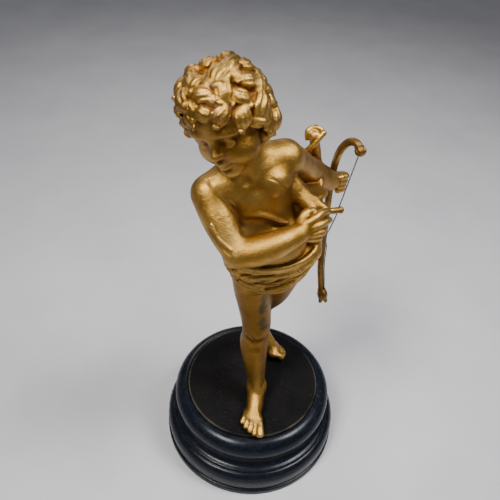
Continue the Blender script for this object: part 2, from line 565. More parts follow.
def eyeLine(side, wide, front, bulge, height, lift):
    # The edge of a lid, from one corner of the eye to the other
    return [onHead(side * (head["eyeSide"] + wide * c), front + bulge * math.sqrt(1 - c * c * 0.9),
                   height + lift * (1 - c * c)) for c in (-1.0, -0.5, 0.0, 0.5, 1.0)]


def makeHead(clay):
    turn = head["turn"]
    clay.ball(onHead(-0.6, -0.2, 3.6), (15.2, 16.4, 15.6), turn, soft=2.0)
    clay.ball(onHead(0, 8.0, 5.5), (13.0, 9.0, 9.2), turn, soft=3.0)
    clay.ball(onHead(0, 5.0, -7.0), (12.4, 11.6, 12.2), turn, soft=3.0)
    for side in (-1, 1):
        # Cheek, eye, brow and ear
        clay.ball(onHead(side * 7.0, 9.2, -8.6), (5.8, 5.4, 5.8), turn, soft=3.0)
        clay.ball(onHead(side * head["eyeSide"], 17.2, -1.6), (3.6, 2.8, 2.3), turn, soft=2.2, cut=True)
        clay.ball(onHead(side * head["eyeSide"], 12.3, -1.9), (3.1, 2.9, 2.7), turn, soft=0.5)
        clay.limb(eyeLine(side, 3.3, 13.7, 1.5, -1.3, 1.2), [0.4, 0.6, 0.65, 0.6, 0.4], soft=0.9)
        clay.limb(eyeLine(side, 3.0, 13.4, 1.4, -2.3, -1.2), [0.3, 0.42, 0.45, 0.42, 0.3], soft=0.9)
        clay.limb([onHead(side * 2.6, 15.4, 2.0), onHead(side * 6.2, 15.9, 3.0),
                   onHead(side * 10.2, 13.2, 1.8)], [1.0, 1.4, 0.9], soft=2.6)
        clay.ball(onHead(side * 15.4, -1.0, -4.0), (1.8, 3.2, 4.8), turn, soft=1.0)
        clay.ball(onHead(side * 17.3, -0.6, -3.6), (1.0, 1.7, 2.6), turn, soft=0.7, cut=True)
        clay.ball(onHead(side * 15.6, 0.6, -8.2), (1.5, 1.7, 1.6), turn, soft=0.8)
    # Chin, jaw and nose
    clay.ball(onHead(0, 12.4, -17.0), (4.4, 3.8, 3.6), turn, soft=2.5)
    clay.ball(onHead(0, 6.0, -15.0), (8.2, 7.6, 4.8), turn, soft=3.0)
    clay.limb([onHead(0, 15.2, 1.4), onHead(0, 16.0, -2.2), onHead(0, 17.8, -6.2)],
              [1.5, 1.4, 1.7], soft=1.6)
    clay.ball(onHead(0, 17.7, -6.4), (1.8, 1.7, 1.5), turn, soft=1.6)
    for side in (-1, 1):
        clay.ball(onHead(side * 1.9, 16.0, -6.9), (1.3, 1.6, 1.1), turn, soft=1.3)
        clay.ball(onHead(side * 1.1, 17.4, -8.0), (0.55, 0.7, 0.45), turn, soft=0.3, cut=True)
    clay.line([onHead(-0.5, 16.6, -9.0), onHead(-0.4, 16.9, -10.4)], 0.3, 0.9, 1, cut=True)
    # Lips, the line between them and the fold over the chin
    clay.limb(acrossFace([(-3.7, 14.3, -11.3), (-1.6, 16.3, -10.8), (0, 16.7, -11.2)]),
              [0.55, 0.95, 0.85, 0.95, 0.55], soft=1.1)
    clay.limb(acrossFace([(-2.9, 14.5, -12.6), (0, 16.2, -13.3)]), [0.6, 1.1, 0.6], soft=1.1)
    clay.limb(acrossFace([(-4.0, 14.6, -11.8), (-1.5, 17.2, -11.9), (0, 17.6, -12.2)]),
              [0.25, 0.28, 0.28, 0.28, 0.25], soft=0.6, cut=True)
    clay.limb(acrossFace([(-2.2, 15.4, -15.0), (0, 16.0, -15.3)]), [0.3, 0.4, 0.3], soft=1.2, cut=True)


hair = {
    "skull": (-0.6, -0.2, 3.6),
    "radii": (15.3, 16.5, 15.7),
    # The locks that show: degrees round from the front and up, how far they stand out, and their size
    "locks": [(169, 54, 1.2, 5.4), (151, 37, 0.6, 4.9), (-141, 64, 1.0, 4.8), (-99, 58, 3.0, 3.6),
              (118, 62, 0.8, 4.6), (75, 69, -0.4, 5.8), (50, 46, 0.8, 4.0), (28, 64, 0.0, 3.8),
              (-70, 62, 1.0, 4.4), (-76, 42, 2.6, 4.3), (-41, 40, 1.0, 5.2), (-56, 22, 2.0, 3.5),
              (-49, 7, 0.8, 2.9), (99, 36, 0.8, 4.0), (107, 20, 0.8, 4.3), (126, -4, 1.0, 4.0),
              (70, 27, 0.6, 3.8), (88, 2, 1.0, 5.2), (106, -31, 3.8, 4.6), (8, 29, 0.6, 3.6),
              (33, 21, 0.8, 4.1), (57, 6, 0.8, 4.3), (77, -11, 1.0, 3.7), (8, 52, 0.6, 4.2),
              (-18, 23, 0.6, 3.5), (-34, 14, 0.5, 2.9), (130, 15, 0.6, 4.2), (48, 36, 0.2, 3.2),
              (118, -18, 1.8, 4.2), (94, -20, 1.4, 3.6), (28, 42, 0.2, 3.2), (-12, 36, 0.4, 3.6),
              (96, 52, 0.4, 3.4), (-36, 66, -0.3, 4.0), (20, 80, -1.6, 3.8),
              (100, -46, 2.8, 4.2)],
    # Those at the back: degrees up, first and last place round the head, how many, their size
    "rings": [(36, 192, 268, 3, 5.0), (12, 158, 288, 5, 5.2), (-12, 142, 284, 6, 5.0),
              (-36, 134, 232, 4, 4.6)],
    "crown": (0.15, 0.1, 1.0),      # the locks fall away from here
    "strands": (-0.66, -0.22, 0.22, 0.66),
    "arc": 60,                      # how far the strands run over each side of the mound, in degrees
    "bends": (0.44, -0.52, 0.36, -0.40, 0.56),
    "fullness": 1.07,
}


def makeLock(clay, centre, outward, size, spin, bend):
    # A domed tuft: strands lie side by side over a mound and draw together at a curled tip
    outward = unit(outward)
    crownward = head["turn"] @ np.array(hair["crown"])
    down = unit(outward * (crownward @ outward) - crownward)
    beside = np.cross(outward, down)
    along = down * math.cos(math.radians(spin)) + beside * math.sin(math.radians(spin))
    across = np.cross(outward, along)
    middle = centre - outward * size * 0.27

    def onTuft(t, side):
        lean = math.radians(hair["arc"] * t)
        aside = side * (1 - 0.38 * t * t) + bend * t * abs(t)
        rise = math.cos(lean) * math.sqrt(max(0.1, 1 - 1.1 * side * side))
        place = along * math.sin(lean) * 0.98 + outward * rise * 0.80 + across * aside * 0.86
        return middle + place * size

    turn = np.column_stack([across, along, outward])
    clay.ball(middle, (size * 0.86, size * 0.94, size * 0.82), turn, soft=0.7)
    for side in hair["strands"]:
        strand = [onTuft(-1 + k / 3, side) for k in range(7)]
        thick = [size * (0.10 + 0.13 * math.sin(math.pi * (0.1 + 0.8 * k / 6))) for k in range(7)]
        clay.limb(strand, thick, soft=0.5, steps=3)
    tip = onTuft(1.0, 0.0)
    turnOver = across * math.copysign(size, bend)
    clay.limb([tip - along * size * 0.1,
               tip + along * size * 0.16 + outward * size * 0.10,
               tip + turnOver * 0.22 + outward * size * 0.26,
               tip + turnOver * 0.34 - along * size * 0.16 + outward * size * 0.22],
              [size * 0.24, size * 0.23, size * 0.19, size * 0.12], soft=0.3)


def skullPlace(azimuth, elevation, lift):
    azimuth, elevation = math.radians(azimuth), math.radians(elevation)
    way = np.array([math.sin(azimuth) * math.cos(elevation), math.cos(azimuth) * math.cos(elevation),
                    math.sin(elevation)])
    place = np.array(hair["skull"]) + way * (np.array(hair["radii"]) + lift)
    return onHead(*place), head["turn"] @ np.array([way[0], -way[1], way[2]])


def makeHair(clay):
    locks = list(hair["locks"])
    for elevation, first, last, count, size in hair["rings"]:
        locks += [(first + (last - first) * k / (count - 1),
                   elevation + 4 * math.sin(2.3 * k + elevation), 0.8, size) for k in range(count)]
    for number, (azimuth, elevation, lift, size) in enumerate(locks):
        place, outward = skullPlace(azimuth, elevation, lift)
        spin = 70 * math.sin(2.1 * number)
        makeLock(clay, place, outward, size * hair["fullness"], spin, hair["bends"][number % 5])


# Fine lines in the skin: creases are cut in, seams of the casting stand out
surfaceLines = {
    "cuts": [([(-27.2, -10.7, 154.6), (-24.6, -14.0, 152.7), (-22.2, -15.4, 150.3), (-19.2, -16.2, 147.4),
               (-16.2, -16.4, 143.7), (-13.6, -15.6, 139.0)], 0.32),
             ([(-0.2, -6.9, 155.7), (4.3, -7.2, 153.2), (8.4, -4.4, 147.8), (11.4, 0.4, 142.4)], 0.24),
             ([(-6.2, -9.6, 56.5), (-3.8, -11.3, 55.0), (-0.3, -11.6, 50.4)], 0.30),
             ([(4.6, 12.4, 156.4), (7.8, 6.4, 151.0), (9.4, 4.0, 146.0)], 0.30)],
    "seams": [([(-24.2, -22.5, 140.0), (-20.9, -25.6, 135.6), (-17.7, -27.4, 133.4),
                (-14.8, -28.9, 131.8)], 0.40),
              ([(-25.1, -22.6, 136.0), (-21.7, -25.4, 132.4), (-18.9, -27.6, 130.5),
                (-15.4, -30.2, 128.6)], 0.40),
              ([(-16.7, -15.0, 147.6), (-13.6, -14.8, 144.4)], 0.32)],
}


def makeSurfaceLines(clay):
    for route, thick in surfaceLines["cuts"]:
        clay.line(route, thick, cut=True)
    for route, thick in surfaceLines["seams"]:
        clay.line(route, thick, soft=0.6)


def makeFigureField():
    step = clayWork["voxel"]
    clay = Clay(clayWork["low"], clayWork["high"], step)
    makeTorso(clay)
    makeLegs(clay)
    for foot in feet:
        makeFoot(clay, foot)
    makeRightArm(clay)
    makeLeftArm(clay)
    makeSurfaceLines(clay)
    makeCloth(clay)
    makeClothFolds(clay)
    makeScarf(clay)
    makeHead(clay)
    makeHair(clay)
    # Room for the bow and the arrow in the fists, and flat soles
    clay.line(bow["route"][2:8], bow["radius"] / share + bow["boreGap"], 0.1, 5, cut=True)
    beyond = arrowOuter + unit(arrowOuter - arrowInner) * 3.0
    clay.line([arrowInner, beyond], arrow["bore"], 0.1, 1, cut=True)
    clay.field = np.maximum(clay.field, -clay.lines[2][None, None, :])
    return clay


# The bow and the arrow: centre lines in shares, from the fist outwards as the solids have them
bow = {
    "route": [(43.9, 30.0, 149.6), (42.2, 33.6, 151.4), (39.0, 37.4, 149.6), (36.4, 41.6, 142.6),
              (35.4, 46.0, 132.0), (35.4, 49.2, 119.8), (35.7, 49.0, 103.0), (36.0, 46.2, 87.0),
              (36.1, 43.4, 74.0), (36.5, 41.0, 62.0), (38.3, 38.2, 49.0), (39.9, 36.4, 41.8)],
    "radius": 0.0020,
    "sizes": [0.9, 1, 1.03, 1.04, 1.02, 1, 1, 1.0, 1.0, 0.98, 0.98, 1.02],
    "boreGap": 0.3,        # in shares, round the rod in the fist
    # Fittings at each end: shift outwards, radii, ribs and how deep these are
    "upper": [(0.0, (0.0030, 0.0030, 0.0030), 9, 0.10), (-0.0026, (0.0022, 0.0022, 0.0006), 1, 0.0)],
    "lower": [(0.0004, (0.0036, 0.0034, 0.0044), 5, 0.12), (-0.0034, (0.0026, 0.0026, 0.0007), 1, 0.0)],
    "tipShift": 0.0040, "tipApart": 0.0014, "tipRadii": (0.0014, 0.0014, 0.0028), "tipSplay": 120,
}
arrow = {
    "radius": 0.0015,
    "endRadius": 0.00168,
    "bore": 1.8,           # in shares
}
arrowOuter = np.array([33.7, -1.3, 136.4])
arrowInner = arrowOuter + unit(np.array([26.6, -4.4, 137.2]) - arrowOuter) * 16.5


def toMetres(places):
    return np.asarray(places) * share + np.array([0, 0, soleHeight])


def makeFigure(materials):
    clay = makeFigureField()
    print("figure modelled,", clay.field.size, "distances")
    points, quads = surfaceNet(clay.field)
    mesh = meshFromFaces("cupid", toMetres(points * clay.step + clay.low), quads)
    rough = addPiece("cupidRough", mesh, [])
    soften = rough.modifiers.new("even", "SMOOTH")
    soften.factor = 0.4
    soften.iterations = 1
    thin = rough.modifiers.new("thin", "DECIMATE")
    wanted = clayWork["triangles"]
    thin.ratio = min(1.0, wanted / (2 * len(quads)))
    finished = evaluatedMesh(rough)
    bpy.data.objects.remove(rough)
    finished.name = "cupid"
    piece = addPiece("cupid", finished, materials)
    paintFigure(clay, finished)
    finished.shade_smooth()
    print("figure meshed,", len(finished.polygons), "faces")
    return piece


def addAttribute(mesh, name, values):
    layer = mesh.attributes.new(name, "FLOAT", "POINT")
    layer.data.foreach_set("value", np.asarray(values, np.float32))


# The dark green mark down the thigh, as balls with their reaches
stain = [((1.6, -10.6, 76.0), (2.9, 5.0, 12.0)),
         ((2.4, -10.4, 66.6), (3.0, 5.0, 6.0)),
         ((4.4, -9.0, 60.0), (5.0, 5.0, 2.2))]
# The sheet behind the right hand is dull too: its middle and its reaches
dullSheet = ((17.0, 4.0, 141.0), (8.0, 6.0, 6.0))
hairReach = (23, 24, 21)


def farFrom(places, centre, reach):
    # How far each place lies from a centre, where 1 is the reach
    return np.linalg.norm((places - np.array(centre)) / np.array(reach), axis=1)


def paintFigure(clay, mesh):
    # How hollow, how raised, how stained and how reddened each point is, for the finish
    count = len(mesh.vertices)
    places = np.zeros(count * 3, np.float32)
    mesh.vertices.foreach_get("co", places)
    places = (places.reshape(-1, 3) - np.array([0, 0, soleHeight])) / share
    near = readField(clay, spreadOf(clay.field, max(int(round(1.4 / clay.step)), 1)), places)
    wide = readField(clay, spreadOf(clay.field, max(int(round(4.0 / clay.step)), 1)), places)
    addAttribute(mesh, "hollow", np.clip(-near * 2.6 - wide * 0.35 + 0.12, 0, 1))
    addAttribute(mesh, "raised", np.clip(near * 3.4, 0, 1))
    marked = np.zeros(count)
    for centre, reach in stain:
        marked = np.maximum(marked, 1.2 - farFrom(places, centre, reach))
    addAttribute(mesh, "stain", np.clip(marked, 0, 1))
    # The legs are duller from the cloth down to the ankles, and the cloth a little
    height = places[:, 2]
    legs = np.clip((height - 10) / 14, 0, 1) * np.clip((108 - height) / 10, 0, 1)
    onCloth = np.clip((height - 84) / 8, 0, 1)
    onSheet = 1.3 - farFrom(places, *dullSheet)
    addAttribute(mesh, "dulled", np.maximum(legs * (1 - 0.35 * onCloth), np.clip(onSheet, 0, 0.75)))
    fromHead = farFrom(places, onHead(0, -2, 5), hairReach)
    addAttribute(mesh, "inHair", np.clip((1.25 - fromHead) * 4, 0, 1))


# Shader node groups
def newGroup(name, inputs, outputs):
    group = bpy.data.node_groups.new(name, "ShaderNodeTree")
    for label, kind, value in inputs:
        socket = group.interface.new_socket(label, in_out="INPUT", socket_type=kind)
        socket.default_value = value
    for label, kind in outputs:
        group.interface.new_socket(label, in_out="OUTPUT", socket_type=kind)
    start = group.nodes.new("NodeGroupInput")
    end = group.nodes.new("NodeGroupOutput")
    return group, start, end


def link(tree, source, target):
    tree.links.new(source, target)


def noise(tree, vector, scale, detail=4.0, roughness=0.55, distortion=0.0):
    node = tree.nodes.new("ShaderNodeTexNoise")
    node.inputs["Detail"].default_value = detail
    node.inputs["Roughness"].default_value = roughness
    node.inputs["Distortion"].default_value = distortion
    if isinstance(scale, float):
        node.inputs["Scale"].default_value = scale
    else:
        link(tree, scale, node.inputs["Scale"])
    link(tree, vector, node.inputs["Vector"])
    return node.outputs["Fac"]


def mathNode(tree, operation, first, second=None, clamp=False):
    node = tree.nodes.new("ShaderNodeMath")
    node.operation = operation
    node.use_clamp = clamp
    for socket, value in zip(node.inputs, (first, second)):
        if value is None:
            continue
        if isinstance(value, (int, float)):
            socket.default_value = value
        else:
            link(tree, value, socket)
    return node.outputs[0]


def times(tree, first, second, clamp=False):
    return mathNode(tree, "MULTIPLY", first, second, clamp)


def plus(tree, first, second):
    return mathNode(tree, "ADD", first, second)


def between(tree, value, low, high, toLow=0.0, toHigh=1.0):
    node = tree.nodes.new("ShaderNodeMapRange")
    node.inputs["From Min"].default_value = low
    node.inputs["From Max"].default_value = high
    node.inputs["To Min"].default_value = toLow
    node.inputs["To Max"].default_value = toHigh
    link(tree, value, node.inputs["Value"])
    return node.outputs["Result"]


def mixColour(tree, amount, first, second, blend="MIX"):
    node = tree.nodes.new("ShaderNodeMix")
    node.data_type = "RGBA"
    node.blend_type = blend
    sockets = (node.inputs["Factor"], node.inputs[6], node.inputs[7])
    for socket, value in zip(sockets, (amount, first, second)):
        if isinstance(value, (int, float)):
            socket.default_value = value
        elif isinstance(value, tuple):
            socket.default_value = (*value, 1.0) if len(value) == 3 else value
        else:
            link(tree, value, socket)
    return node.outputs[2]


gilt = {
    "bright": (0.50, 0.285, 0.062, 1), "deep": (0.30, 0.145, 0.018, 1), "dull": (0.215, 0.155, 0.056, 1),
    "inHollows": (0.17, 0.070, 0.016), "onEdges": (0.64, 0.39, 0.10), "spots": (0.22, 0.12, 0.04),
    "dulling": (0.52, 0.47, 0.38), "copper": (0.45, 0.21, 0.12), "greenMark": (0.05, 0.056, 0.03),
    "rodBright": (0.34, 0.20, 0.055, 1), "rodDeep": (0.17, 0.088, 0.020, 1),
}


def makeGildingGroup():
    group, start, end = newGroup(
        "old gilding",
        [("Vector", "NodeSocketVector", (0, 0, 0)), ("Hollow", "NodeSocketFloat", 0.0),
         ("Raised", "NodeSocketFloat", 0.0), ("Scale", "NodeSocketFloat", 1.0),
         ("Bright", "NodeSocketColor", gilt["bright"]), ("Deep", "NodeSocketColor", gilt["deep"]),
         ("Dull", "NodeSocketColor", gilt["dull"])],
        [("Colour", "NodeSocketColor"), ("Roughness", "NodeSocketFloat"), ("Height", "NodeSocketFloat")])
    vector = start.outputs["Vector"]
    scaled = group.nodes.new("ShaderNodeVectorMath")
    scaled.operation = "SCALE"
    link(group, vector, scaled.inputs[0])
    link(group, start.outputs["Scale"], scaled.inputs["Scale"])
    place = scaled.outputs[0]
    clouds = noise(group, place, 75.0, 4.0, 0.6, 0.4)
    patches = noise(group, place, 34.0, 5.0, 0.62, 0.8)
    specks = noise(group, place, 620.0, 3.0, 0.6)
    grain = noise(group, place, 1700.0, 3.0, 0.65)
    tone = between(group, clouds, 0.36, 0.68)
    colour = mixColour(group, tone, start.outputs["Deep"], start.outputs["Bright"])
    dull = between(group, patches, 0.54, 0.70, 0.0, 0.65)
    colour = mixColour(group, dull, colour, start.outputs["Dull"])
    dark = times(group, start.outputs["Hollow"], between(group, specks, 0.25, 0.65, 0.75, 1.0), clamp=True)
    colour = mixColour(group, dark, colour, gilt["inHollows"])
    shine = times(group, start.outputs["Raised"], between(group, specks, 0.35, 0.6, 0.2, 0.75), clamp=True)
    colour = mixColour(group, shine, colour, gilt["onEdges"])
    spots = between(group, specks, 0.66, 0.74, 0.0, 0.5)
    colour = mixColour(group, spots, colour, gilt["spots"])
    rough = plus(group, between(group, clouds, 0.3, 0.7, 0.47, 0.35), times(group, dark, 0.22))
    rough = plus(group, rough, times(group, dull, 0.16))
    rough = mathNode(group, "SUBTRACT", rough, times(group, shine, 0.06))
    height = plus(group, times(group, specks, 1.1), times(group, grain, 0.9))
    height = plus(group, height, times(group, clouds, 0.8))
    link(group, colour, end.inputs["Colour"])
    link(group, rough, end.inputs["Roughness"])
    link(group, height, end.inputs["Height"])
    return group


def makeScuffGroup():
    group, start, end = newGroup(
        "scuffs and dust",
        [("Vector", "NodeSocketVector", (0, 0, 0)), ("Scale", "NodeSocketFloat", 1.0)],
        [("Scuff", "NodeSocketFloat"), ("Dust", "NodeSocketFloat"), ("Height", "NodeSocketFloat")])
    stretch = group.nodes.new("ShaderNodeMapping")
    stretch.inputs["Scale"].default_value = (1.0, 5.0, 2.0)
    stretch.inputs["Rotation"].default_value = (0.2, 0.1, 0.7)
    link(group, start.outputs["Vector"], stretch.inputs["Vector"])
    lines = noise(group, stretch.outputs["Vector"], 210.0, 5.0, 0.7, 0.3)
    specks = noise(group, start.outputs["Vector"], 900.0, 2.0, 0.5)
    broad = noise(group, start.outputs["Vector"], 45.0, 3.0, 0.55)
    scuff = times(group, between(group, lines, 0.58, 0.72), between(group, broad, 0.42, 0.62))
    dust = times(group, between(group, specks, 0.62, 0.72), between(group, broad, 0.35, 0.65, 0.15, 1.0))
    height = plus(group, times(group, lines, 0.5), times(group, specks, 0.3))
    link(group, scuff, end.inputs["Scuff"])
    link(group, dust, end.inputs["Dust"])
    link(group, height, end.inputs["Height"])
    return group


gildingGroup = makeGildingGroup()
scuffGroup = makeScuffGroup()


def newMaterial(name):
    material = bpy.data.materials.new(name)
    material.use_nodes = True
    tree = material.node_tree
    shader = tree.nodes["Principled BSDF"]
    places = tree.nodes.new("ShaderNodeTexCoord")
    return material, tree, shader, places.outputs["Object"]


def addBump(tree, shader, height, strength, distance):
    bump = tree.nodes.new("ShaderNodeBump")
    bump.inputs["Strength"].default_value = strength
    bump.inputs["Distance"].default_value = distance
    link(tree, height, bump.inputs["Height"])
    link(tree, bump.outputs["Normal"], shader.inputs["Normal"])


def attributeNode(tree, name):
    node = tree.nodes.new("ShaderNodeAttribute")
    node.attribute_name = name
    return node.outputs["Fac"]


def useGroup(tree, group, values, links):
    node = tree.nodes.new("ShaderNodeGroup")
    node.node_tree = group
    for label, value in values.items():
        node.inputs[label].default_value = value
    for label, source in links.items():
        link(tree, source, node.inputs[label])
    return node


def makeFigureGilt():
    material, tree, shader, place = newMaterial("old gilt metal")
    hollow = attributeNode(tree, "hollow")
    raised = attributeNode(tree, "raised")
    gilding = useGroup(tree, gildingGroup, {}, {"Vector": place, "Hollow": hollow, "Raised": raised})
    colour = gilding.outputs["Colour"]
    # Duller on the legs, on the cloth and in patches of the hair
    patches = noise(tree, place, 42.0, 2.0, 0.5)
    inHair = attributeNode(tree, "inHair")
    dulled = mathNode(tree, "MAXIMUM", attributeNode(tree, "dulled"),
                      times(tree, inHair, between(tree, patches, 0.44, 0.58, 0.0, 0.75)))
    colour = mixColour(tree, dulled, colour, gilt["dulling"], blend="MULTIPLY")
    # Copper shows pink in the hollows of the hair
    worn = noise(tree, place, 120.0, 3.0, 0.6)
    pink = times(tree, inHair, between(tree, worn, 0.56, 0.70, 0.0, 0.40))
    colour = mixColour(tree, pink, colour, gilt["copper"])
    # The dark green mark on the thigh
    edge = plus(tree, attributeNode(tree, "stain"), between(tree, worn, 0.3, 0.7, -0.45, 0.40))
    mark = between(tree, edge, 0.30, 0.80, 0.0, 0.72)
    colour = mixColour(tree, mark, colour, gilt["greenMark"])
    link(tree, colour, shader.inputs["Base Color"])
    link(tree, plus(tree, gilding.outputs["Roughness"], times(tree, mark, 0.15)),
         shader.inputs["Roughness"])
    shader.inputs["Metallic"].default_value = 1.0
    addBump(tree, shader, gilding.outputs["Height"], 0.8, 0.00026)
    return material


def makeRodGilt():
    material, tree, shader, place = newMaterial("worn gilt rod")
    worn = noise(tree, place, 160.0, 3.0, 0.6)
    gilding = useGroup(tree, gildingGroup,
                       {"Bright": gilt["rodBright"], "Deep": gilt["rodDeep"], "Scale": 1.6},
                       {"Vector": place, "Hollow": between(tree, worn, 0.45, 0.75, 0.0, 0.6),
                        "Raised": between(tree, worn, 0.5, 0.3, 0.0, 0.5)})
    link(tree, gilding.outputs["Colour"], shader.inputs["Base Color"])
    link(tree, gilding.outputs["Roughness"], shader.inputs["Roughness"])
    shader.inputs["Metallic"].default_value = 1.0
    addBump(tree, shader, gilding.outputs["Height"], 0.5, 0.0002)
    return material


def makeWire():
    material, tree, shader, place = newMaterial("dark wire")
    rust = noise(tree, place, 500.0, 3.0, 0.6)
    colour = mixColour(tree, between(tree, rust, 0.4, 0.7), (0.014, 0.014, 0.016), (0.045, 0.032, 0.024))
    link(tree, colour, shader.inputs["Base Color"])
    link(tree, between(tree, rust, 0.3, 0.7, 0.38, 0.62), shader.inputs["Roughness"])
    shader.inputs["Metallic"].default_value = 0.8
    addBump(tree, shader, rust, 0.3, 0.00005)
    return material


ebony = {
    "dark": (0.0022, 0.0032, 0.0060), "light": (0.0048, 0.0068, 0.0115),
    "scuff": (0.025, 0.030, 0.040), "dust": (0.09, 0.09, 0.095),
}
mattBlack = {
    "dark": (0.0040, 0.0038, 0.0038), "light": (0.0072, 0.0066, 0.0064),
    "scuff": (0.035, 0.033, 0.03), "dust": (0.08, 0.075, 0.07), "wornRim": (0.13, 0.11, 0.08),
}


def addScuffs(tree, scuffs, colour, shades):
    colour = mixColour(tree, times(tree, scuffs.outputs["Scuff"], 0.25), colour, shades["scuff"])
    return mixColour(tree, times(tree, scuffs.outputs["Dust"], 0.2), colour, shades["dust"])


def makeEbonised():
    material, tree, shader, place = newMaterial("ebonised wood")
    scuffs = useGroup(tree, scuffGroup, {}, {"Vector": place})
    grainPlace = tree.nodes.new("ShaderNodeMapping")
    grainPlace.inputs["Scale"].default_value = (1.0, 1.0, 9.0)
    link(tree, place, grainPlace.inputs["Vector"])
    grain = noise(tree, grainPlace.outputs["Vector"], 130.0, 5.0, 0.6, 0.5)
    colour = mixColour(tree, between(tree, grain, 0.35, 0.7), ebony["dark"], ebony["light"])
    colour = addScuffs(tree, scuffs, colour, ebony)
    link(tree, colour, shader.inputs["Base Color"])
    rough = plus(tree, between(tree, grain, 0.3, 0.7, 0.21, 0.33),
                 times(tree, scuffs.outputs["Scuff"], 0.25))
    link(tree, rough, shader.inputs["Roughness"])
    shader.inputs["Specular IOR Level"].default_value = 0.17
    height = plus(tree, scuffs.outputs["Height"], grain)
    addBump(tree, shader, height, 0.18, 0.00015)
    return material


def makePlateBlack():
    material, tree, shader, place = newMaterial("matt plate black")
    scuffs = useGroup(tree, scuffGroup, {}, {"Vector": place})
    broad = noise(tree, place, 55.0, 4.0, 0.6)
    colour = mixColour(tree, between(tree, broad, 0.35, 0.7), mattBlack["dark"], mattBlack["light"])
    # Light wear along the rim
    split = tree.nodes.new("ShaderNodeSeparateXYZ")
    link(tree, place, split.inputs[0])
    x, y = split.outputs[0], split.outputs[1]
    radius = mathNode(tree, "SQRT", plus(tree, times(tree, x, x), times(tree, y, y)))
    rim = between(tree, radius, plate["radius"] - 0.0011, plate["radius"] - 0.0003)
    rim = times(tree, rim, between(tree, broad, 0.40, 0.62, 0.04, 0.4), clamp=True)
    colour = mixColour(tree, rim, colour, mattBlack["wornRim"])
    colour = addScuffs(tree, scuffs, colour, mattBlack)
    link(tree, colour, shader.inputs["Base Color"])
    link(tree, between(tree, broad, 0.3, 0.7, 0.55, 0.70), shader.inputs["Roughness"])
    shader.inputs["Specular IOR Level"].default_value = 0.04
    addBump(tree, shader, scuffs.outputs["Height"], 0.25, 0.0001)
    return material


# Turned pieces and rods, made by geometry nodes
def newTree(name, inputs):
    tree = bpy.data.node_groups.new(name, "GeometryNodeTree")
    tree.interface.new_socket("Geometry", in_out="INPUT", socket_type="NodeSocketGeometry")
    sockets = {}
    for label, kind in inputs:
        sockets[label] = tree.interface.new_socket(label, in_out="INPUT", socket_type=kind).identifier
    tree.interface.new_socket("Geometry", in_out="OUTPUT", socket_type="NodeSocketGeometry")
    return tree, sockets, tree.nodes.new("NodeGroupInput"), tree.nodes.new("NodeGroupOutput")


def applyTree(name, mesh, tree, sockets, values):
    holder = addPiece(name + "Guide", mesh, [])
    modifier = holder.modifiers.new("shape", "NODES")
    modifier.node_group = tree
    for label, value in values.items():
        modifier[sockets[label]] = value
    made = evaluatedMesh(holder)
    bpy.data.objects.remove(holder)
    made.name = name
    return made


def tidyMesh(mesh, distance):
    work = bmesh.new()
    work.from_mesh(mesh)
    bmesh.ops.remove_doubles(work, verts=work.verts, dist=distance)
    bmesh.ops.recalc_face_normals(work, faces=work.faces)
    work.to_mesh(mesh)
    work.free()
    mesh.shade_smooth()
    return mesh


def finishTree(tree, geometry, start, end):
    material = tree.nodes.new("GeometryNodeSetMaterial")
    real = tree.nodes.new("GeometryNodeRealizeInstances")
    link(tree, geometry, real.inputs["Geometry"])
    link(tree, real.outputs["Geometry"], material.inputs["Geometry"])
    link(tree, start.outputs["Material"], material.inputs["Material"])
    link(tree, material.outputs["Geometry"], end.inputs["Geometry"])


def makeLatheTree():
    # Sweeps the profile, drawn from the top down as radius and height, once around the axis
    tree, sockets, start, end = newTree("turned on a lathe", [
        ("Sides", "NodeSocketInt"), ("Rim radius", "NodeSocketFloat"), ("Material", "NodeSocketMaterial")])
    outline = tree.nodes.new("GeometryNodeMeshToCurve")
    circle = tree.nodes.new("GeometryNodeCurvePrimitiveCircle")
    sweep = tree.nodes.new("GeometryNodeCurveToMesh")
    link(tree, start.outputs["Geometry"], outline.inputs["Mesh"])
    link(tree, start.outputs["Sides"], circle.inputs["Resolution"])
    link(tree, start.outputs["Rim radius"], circle.inputs["Radius"])
    link(tree, circle.outputs["Curve"], sweep.inputs["Curve"])
    link(tree, outline.outputs["Curve"], sweep.inputs["Profile Curve"])
    finishTree(tree, sweep.outputs["Mesh"], start, end)
    return tree, sockets


latheTree, latheSockets = makeLatheTree()


def turnedPiece(name, profile, sides, material):
    rimRadius = 0.03
    mesh = bpy.data.meshes.new(name)
    points = [(radius - rimRadius, -height, 0.0) for radius, height in profile]
    mesh.from_pydata(points, [(i, i + 1) for i in range(len(points) - 1)], [])
    made = applyTree(name, mesh, latheTree, latheSockets,
                     {"Sides": sides, "Rim radius": rimRadius, "Material": material})
    return addPiece(name, tidyMesh(made, 0.000004), [])


plate = {
    "radius": 0.0400,
    "thickness": 0.0030,
    "edgeRound": 0.0006,
    "sides": 180,
}

socle = {
    "footRadius": 0.0539, "footHeight": 0.0046, "footRound": 0.0009,
    "lowerRoll": 0.0534, "lowerRollHeight": 0.0132,
    "edge": 0.0494, "neck": 0.0440, "neckHeight": 0.0070,
    "upperRoll": 0.0480, "upperRollHeight": 0.0148,
    "groove": 0.0011, "seatGap": 0.0003,
    "sides": 180, "rollSteps": 26,
}


def rollProfile(innerTop, outer, top, bottom, innerBottom, steps):
    points = []
    for k in range(steps + 1):
        turn = math.pi * k / steps
        inner = innerTop if turn < math.pi / 2 else innerBottom
        points.append((inner + (outer - inner) * math.sin(turn),
                       (top + bottom) / 2 + (top - bottom) / 2 * math.cos(turn)))
    return points


quarter = [math.pi / 2 * k / 6 for k in range(7)]


def upperRound(radius, height, edge):
    # From the flat top round to the side
    return [(radius - edge * (1 - math.sin(turn)), height - edge * (1 - math.cos(turn)))
            for turn in quarter]


